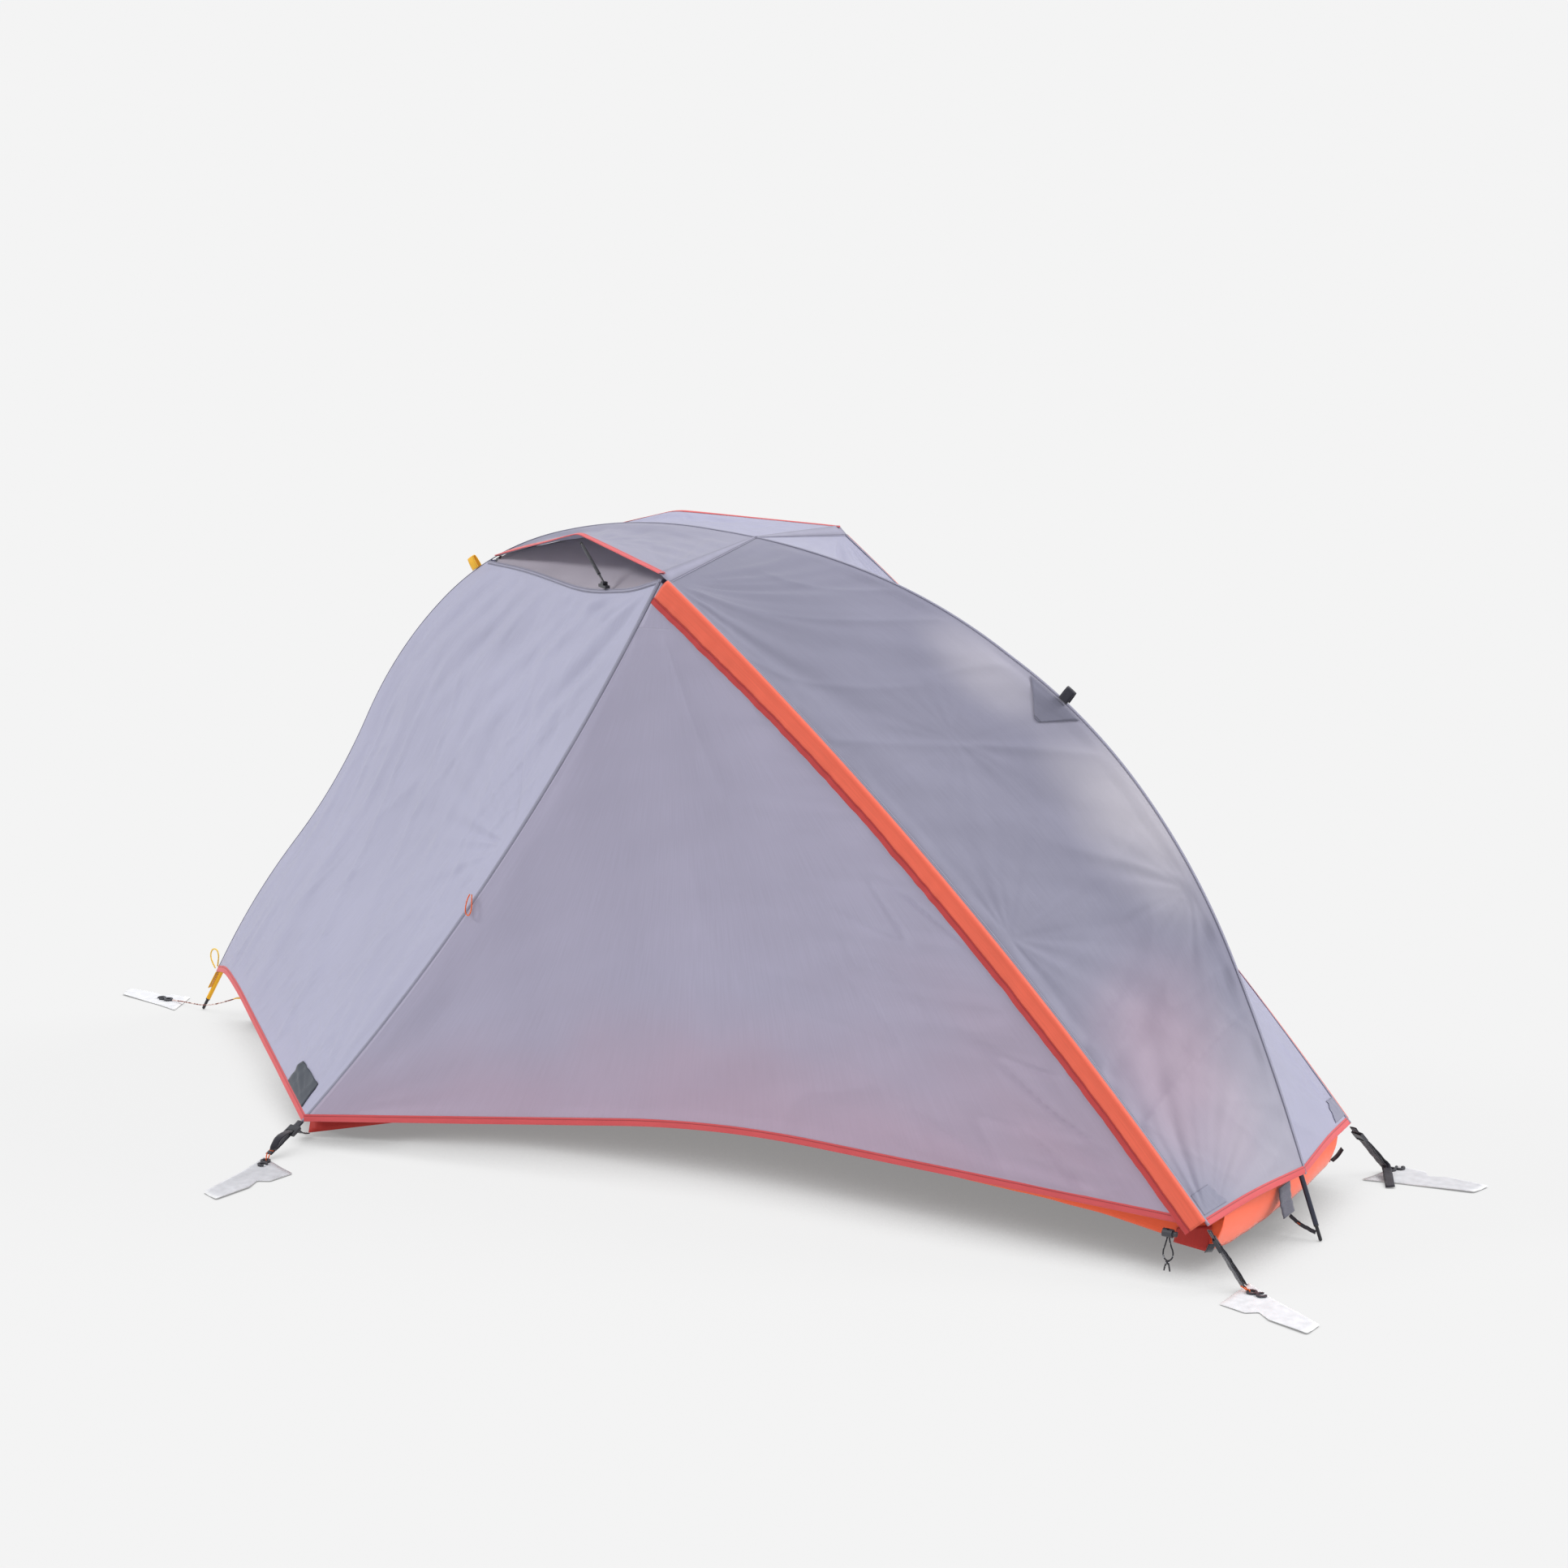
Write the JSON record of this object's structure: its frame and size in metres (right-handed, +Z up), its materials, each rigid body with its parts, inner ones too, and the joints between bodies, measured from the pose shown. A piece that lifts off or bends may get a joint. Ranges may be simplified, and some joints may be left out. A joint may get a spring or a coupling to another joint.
{
  "type": "one-person tent",
  "caption": "Low one-person hoop tent with a grey fly, red hems, an orange storm flap over a triangular side door, propped roof vents and an orange bathtub floor.",
  "frame": {"origin": "on the ground, under the middle of the whole tent with its anchor cards", "axes": "+Z up; +X towards the foot end, along the long pole; -Y is the near side with the door in view"},
  "size_m": [2.7604, 1.62, 1.0774],
  "materials": {
    "fly_cloth": "thin ripstop polyester, light sheen",
    "door_cloth": "thin polyester, light sheen",
    "hood_cloth": "thin polyester, light sheen",
    "hem_tape": "woven binding tape",
    "storm_flap": "coated polyester, satin",
    "floor_cloth": "coated polyester, satin",
    "floor_patch": "coated polyester, satin",
    "inner_mesh": "fine breathable mesh",
    "vent_net": "fine black mesh",
    "patch_cloth": "thin polyester",
    "label_cloth": "woven label, blank",
    "pole_alloy": "anodised, satin",
    "pole_yellow": "anodised, satin",
    "ferrule_alloy": "bare alloy",
    "spring_wire": "bright",
    "moulded_black": "moulded nylon, satin",
    "webbing_black": "woven webbing",
    "webbing_yellow": "woven webbing",
    "grey_tab": "coated cloth",
    "cord_orange": "braided cord",
    "cord_yellow": "covered elastic",
    "cord_reflective": "braided cord with pale flecks",
    "zip_tape": "coil zip",
    "zip_metal": "painted",
    "card_white": "thin matt card"
  },
  "bodies": {
    "tent": {"anchor_cards": "card_white", "blank_label": "label_cloth", "corner_straps": "webbing_black", "cross_pole": "pole_alloy", "cross_pole_tips": "moulded_black", "far_foot_panel": "fly_cloth", "far_head_panel": "fly_cloth", "far_inner_canopy": "inner_mesh", "far_storm_flap": "storm_flap", "far_tie_loop": "cord_orange", "far_vent_hood": "hood_cloth", "floor_corner_patches": "floor_patch", "floor_tub": "floor_cloth", "fly_bindings": "hem_tape", "foot_guy_loop": "webbing_black", "foot_tab": "grey_tab", "guy_cords": "cord_orange", "guy_hooks": "moulded_black", "head_bungee": "cord_yellow", "head_guy_cord": "cord_reflective", "head_guy_loop": "webbing_yellow", "head_tab": "webbing_yellow", "inner_clips": "moulded_black", "ladder_lock_buckles": "moulded_black", "lock_body": "moulded_black", "lock_cord": "cord_reflective", "lock_cord_knot": "cord_reflective", "lock_spring": "spring_wire", "near_foot_panel": "fly_cloth", "near_head_panel": "fly_cloth", "near_inner_canopy": "inner_mesh", "near_storm_flap": "storm_flap", "near_tie_loop": "cord_orange", "near_vent_hood": "hood_cloth", "pole_ferrules": "ferrule_alloy", "pole_foot_section": "pole_alloy", "pole_foot_tip": "pole_alloy", "pole_head_section": "pole_yellow", "pole_head_tip": "pole_yellow", "pole_hub_clip": "moulded_black", "pole_mid_sections": "pole_alloy", "pole_shock_cord": "cord_yellow", "reinforcement_patches": "patch_cloth", "vent_mesh": "vent_net", "vent_prop_bases": "moulded_black", "zip_fly_halves": "zip_tape"},
    "near_door": {"near_door_panel": "door_cloth", "near_door_hem": "hem_tape", "near_zip_door_half": "zip_tape"},
    "near_slider": {"near_zip_slider": "zip_metal"},
    "near_pull": {"near_zip_pull": "zip_metal"},
    "near_prop": {"near_vent_prop": "moulded_black"},
    "far_door": {"far_door_panel": "door_cloth", "far_door_hem": "hem_tape", "far_zip_door_half": "zip_tape"},
    "far_slider": {"far_zip_slider": "zip_metal"},
    "far_pull": {"far_zip_pull": "zip_metal"},
    "far_prop": {"far_vent_prop": "moulded_black"},
    "lock_button": {"lock_plunger": "moulded_black"}
  },
  "joints": [
    {"name": "near_door_swing", "type": "hinge", "parent": "tent", "child": "near_door", "pos_m": [-0.469, -0.522, 0.045], "axis": [-0.5178, -0.1952, -0.8329], "range_deg": [0, 150]},
    {"name": "near_zip_travel", "type": "hinge", "parent": "tent", "child": "near_slider", "pos_m": [-3.63214, -0.2875, -4.09494], "axis": [0, -1, 0], "range_deg": [0, 10.8]},
    {"name": "near_pull_swing", "type": "hinge", "parent": "near_slider", "child": "near_pull", "pos_m": [1.12788, -0.2927, 0.12204], "axis": [0, 1, 0], "range_deg": [-20, 20]},
    {"name": "near_prop_fold", "type": "hinge", "parent": "tent", "child": "near_prop", "pos_m": [-0.018, -0.223, 1.006], "axis": [-0.4837, -0.8752, 0], "range_deg": [0, 36]},
    {"name": "far_door_swing", "type": "hinge", "parent": "tent", "child": "far_door", "pos_m": [-0.469, 0.522, 0.045], "axis": [0.5178, -0.1952, 0.8329], "range_deg": [0, 150]},
    {"name": "far_zip_travel", "type": "hinge", "parent": "tent", "child": "far_slider", "pos_m": [-3.63214, 0.2875, -4.09494], "axis": [0, -1, 0], "range_deg": [0, 10.8]},
    {"name": "far_pull_swing", "type": "hinge", "parent": "far_slider", "child": "far_pull", "pos_m": [1.12788, 0.2927, 0.12204], "axis": [0, 1, 0], "range_deg": [-20, 20]},
    {"name": "far_prop_fold", "type": "hinge", "parent": "tent", "child": "far_prop", "pos_m": [-0.018, 0.223, 1.006], "axis": [0.4837, -0.8752, 0], "range_deg": [0, 36]},
    {"name": "lock_press", "type": "slide", "parent": "tent", "child": "lock_button", "axis": [-1, 0, 0], "range_m": [0, 0.0045], "stiffness_N_per_m": 300, "springref_m": -0.004}
  ]
}
